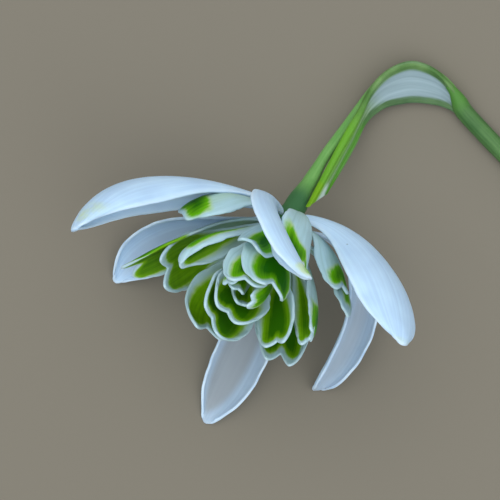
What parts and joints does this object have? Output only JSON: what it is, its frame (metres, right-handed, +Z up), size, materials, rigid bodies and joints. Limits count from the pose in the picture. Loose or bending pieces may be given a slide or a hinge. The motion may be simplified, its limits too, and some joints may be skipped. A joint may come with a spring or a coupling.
{
  "type": "snowdrop flower",
  "caption": "Double snowdrop flower with its ovary, arched pedicel, spathe and a short cut scape, lying on its side on a surface.",
  "frame": {"origin": "middle of the flower's footprint, on the surface that it lies on", "axes": "+Z up from the surface, +X along the flower's longest side towards the cut end of the scape; seen from +Z the bloom opens towards -X and -Y"},
  "size_m": [0.0554, 0.0415, 0.0249],
  "materials": {
    "tepal_white": "soft matt white petal, faintly veined and translucent",
    "tepal_marked": "soft matt white petal with green marks",
    "ovary_green": "smooth, faintly waxy dark green",
    "stem_green": "smooth, faintly waxy green with fine lengthwise ribs",
    "spathe_green": "thin papery skin between two green ribs"
  },
  "bodies": {
    "root": {"ovary": "ovary_green", "pedicel": "stem_green", "scape": "stem_green", "spathe": "spathe_green", "outer_tepal_left": "tepal_white", "outer_tepal_right": "tepal_white", "outer_tepal_low": "tepal_white", "outer_tepal_low_left": "tepal_white", "outer_tepal_low_right": "tepal_white", "outer_tepal_front": "tepal_white", "inner_tepal_01": "tepal_marked", "inner_tepal_02": "tepal_marked", "inner_tepal_03": "tepal_marked", "inner_tepal_04": "tepal_marked", "inner_tepal_05": "tepal_marked", "inner_tepal_06": "tepal_marked", "inner_tepal_07": "tepal_marked", "inner_tepal_08": "tepal_marked", "inner_tepal_09": "tepal_marked", "inner_tepal_10": "tepal_marked", "inner_tepal_11": "tepal_marked", "inner_tepal_12": "tepal_marked", "inner_tepal_13": "tepal_marked", "inner_tepal_14": "tepal_marked", "inner_tepal_15": "tepal_marked", "inner_tepal_16": "tepal_marked", "inner_tepal_17": "tepal_marked", "inner_tepal_18": "tepal_marked", "inner_tepal_19": "tepal_marked", "inner_tepal_20": "tepal_marked", "inner_tepal_21": "tepal_marked"}
  },
  "joints": []
}
